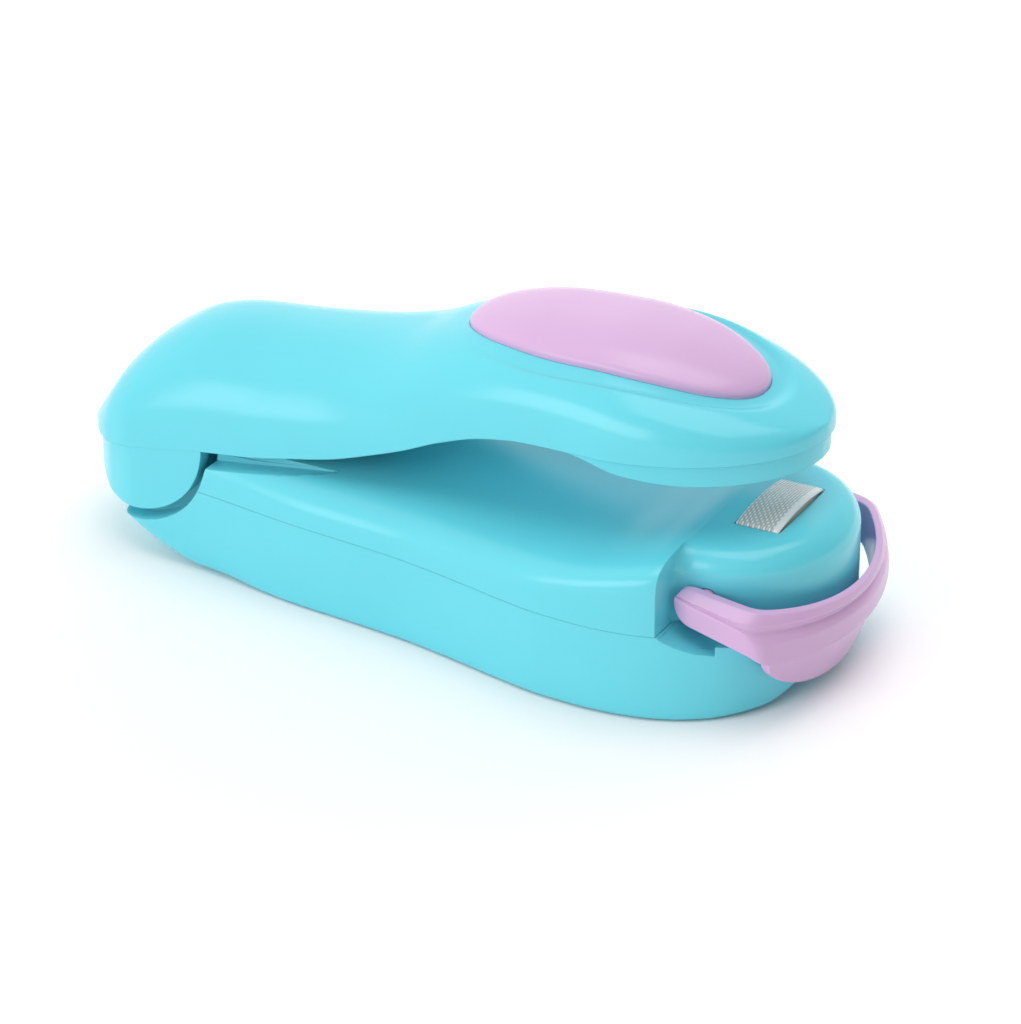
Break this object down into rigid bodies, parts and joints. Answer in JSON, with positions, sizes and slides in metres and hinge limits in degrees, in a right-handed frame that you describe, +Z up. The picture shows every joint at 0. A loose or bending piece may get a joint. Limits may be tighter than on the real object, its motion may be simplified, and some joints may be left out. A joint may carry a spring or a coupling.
{
  "type": "mini bag sealer",
  "caption": "Hand-held lever that melts plastic bags shut: sprung turquoise arm over a heated woven strip, lilac oval thumb pad, lilac lock loop at the nose, cells inside.",
  "frame": {"origin": "centre of the bounding box in X and Y, on the table under the body", "axes": "+X from the hinge to the nose, +Y to the body's left, +Z up from the table"},
  "size_m": [0.1032, 0.0444, 0.0396],
  "materials": {
    "turquoise": "glossy",
    "lilac": "glossy",
    "woven_tape": "woven",
    "silicone": "matte",
    "heat_proof": "satin",
    "alloy": "bright",
    "brass": "bright",
    "spring_steel": "bright",
    "zinc": "bright",
    "cell_sleeve": "glossy"
  },
  "bodies": {
    "base": {"lower_shell": "turquoise", "upper_shell": "turquoise", "battery_cell_left": "cell_sleeve", "battery_contact_left": "brass", "carrier_spring_left": "spring_steel", "battery_cell_right": "cell_sleeve", "battery_contact_right": "brass", "carrier_spring_right": "spring_steel", "switch_contact_front": "brass", "switch_contact_rear": "brass", "battery_bridge": "brass", "return_spring": "spring_steel", "case_screw_rear_left": "zinc", "case_screw_rear_right": "zinc", "case_screw_front_left": "zinc", "case_screw_front_right": "zinc"},
    "arm": {"arm_shell": "turquoise", "arm_liner": "turquoise", "press_pad": "silicone", "thumb_pad": "lilac", "arm_screw_rear": "zinc", "arm_screw_front": "zinc"},
    "loop": {"lock_loop": "lilac"},
    "heater": {"heater_carrier": "heat_proof", "heater_wire": "alloy", "heater_tape": "woven_tape", "contact_bridge": "brass", "heater_terminal_left": "brass", "heater_terminal_right": "brass"},
    "door": {"battery_door": "turquoise"}
  },
  "joints": [
    {"name": "arm_hinge", "type": "hinge", "parent": "base", "child": "arm", "pos_m": [-0.04099, 0, 0.0163], "axis": [0, 1, 0], "range_deg": [0, 4.8], "stiffness_Nm_per_rad": 0.5, "springref_deg": -17.19, "deforming": ["return_spring"]},
    {"name": "loop_pivot", "type": "hinge", "parent": "base", "child": "loop", "pos_m": [0.03801, 0, 0.0142], "axis": [0, -1, 0], "range_deg": [0, 50]},
    {"name": "heater_press", "type": "slide", "parent": "base", "child": "heater", "axis": [0, 0, -1], "range_m": [0, 0.0012], "stiffness_N_per_m": 400, "springref_m": -0.0015, "deforming": ["carrier_spring_left", "carrier_spring_right"]},
    {"name": "door_hinge", "type": "hinge", "parent": "base", "child": "door", "pos_m": [-0.01564, 0, 0.0006], "axis": [0, 1, 0], "range_deg": [0, 70]}
  ]
}
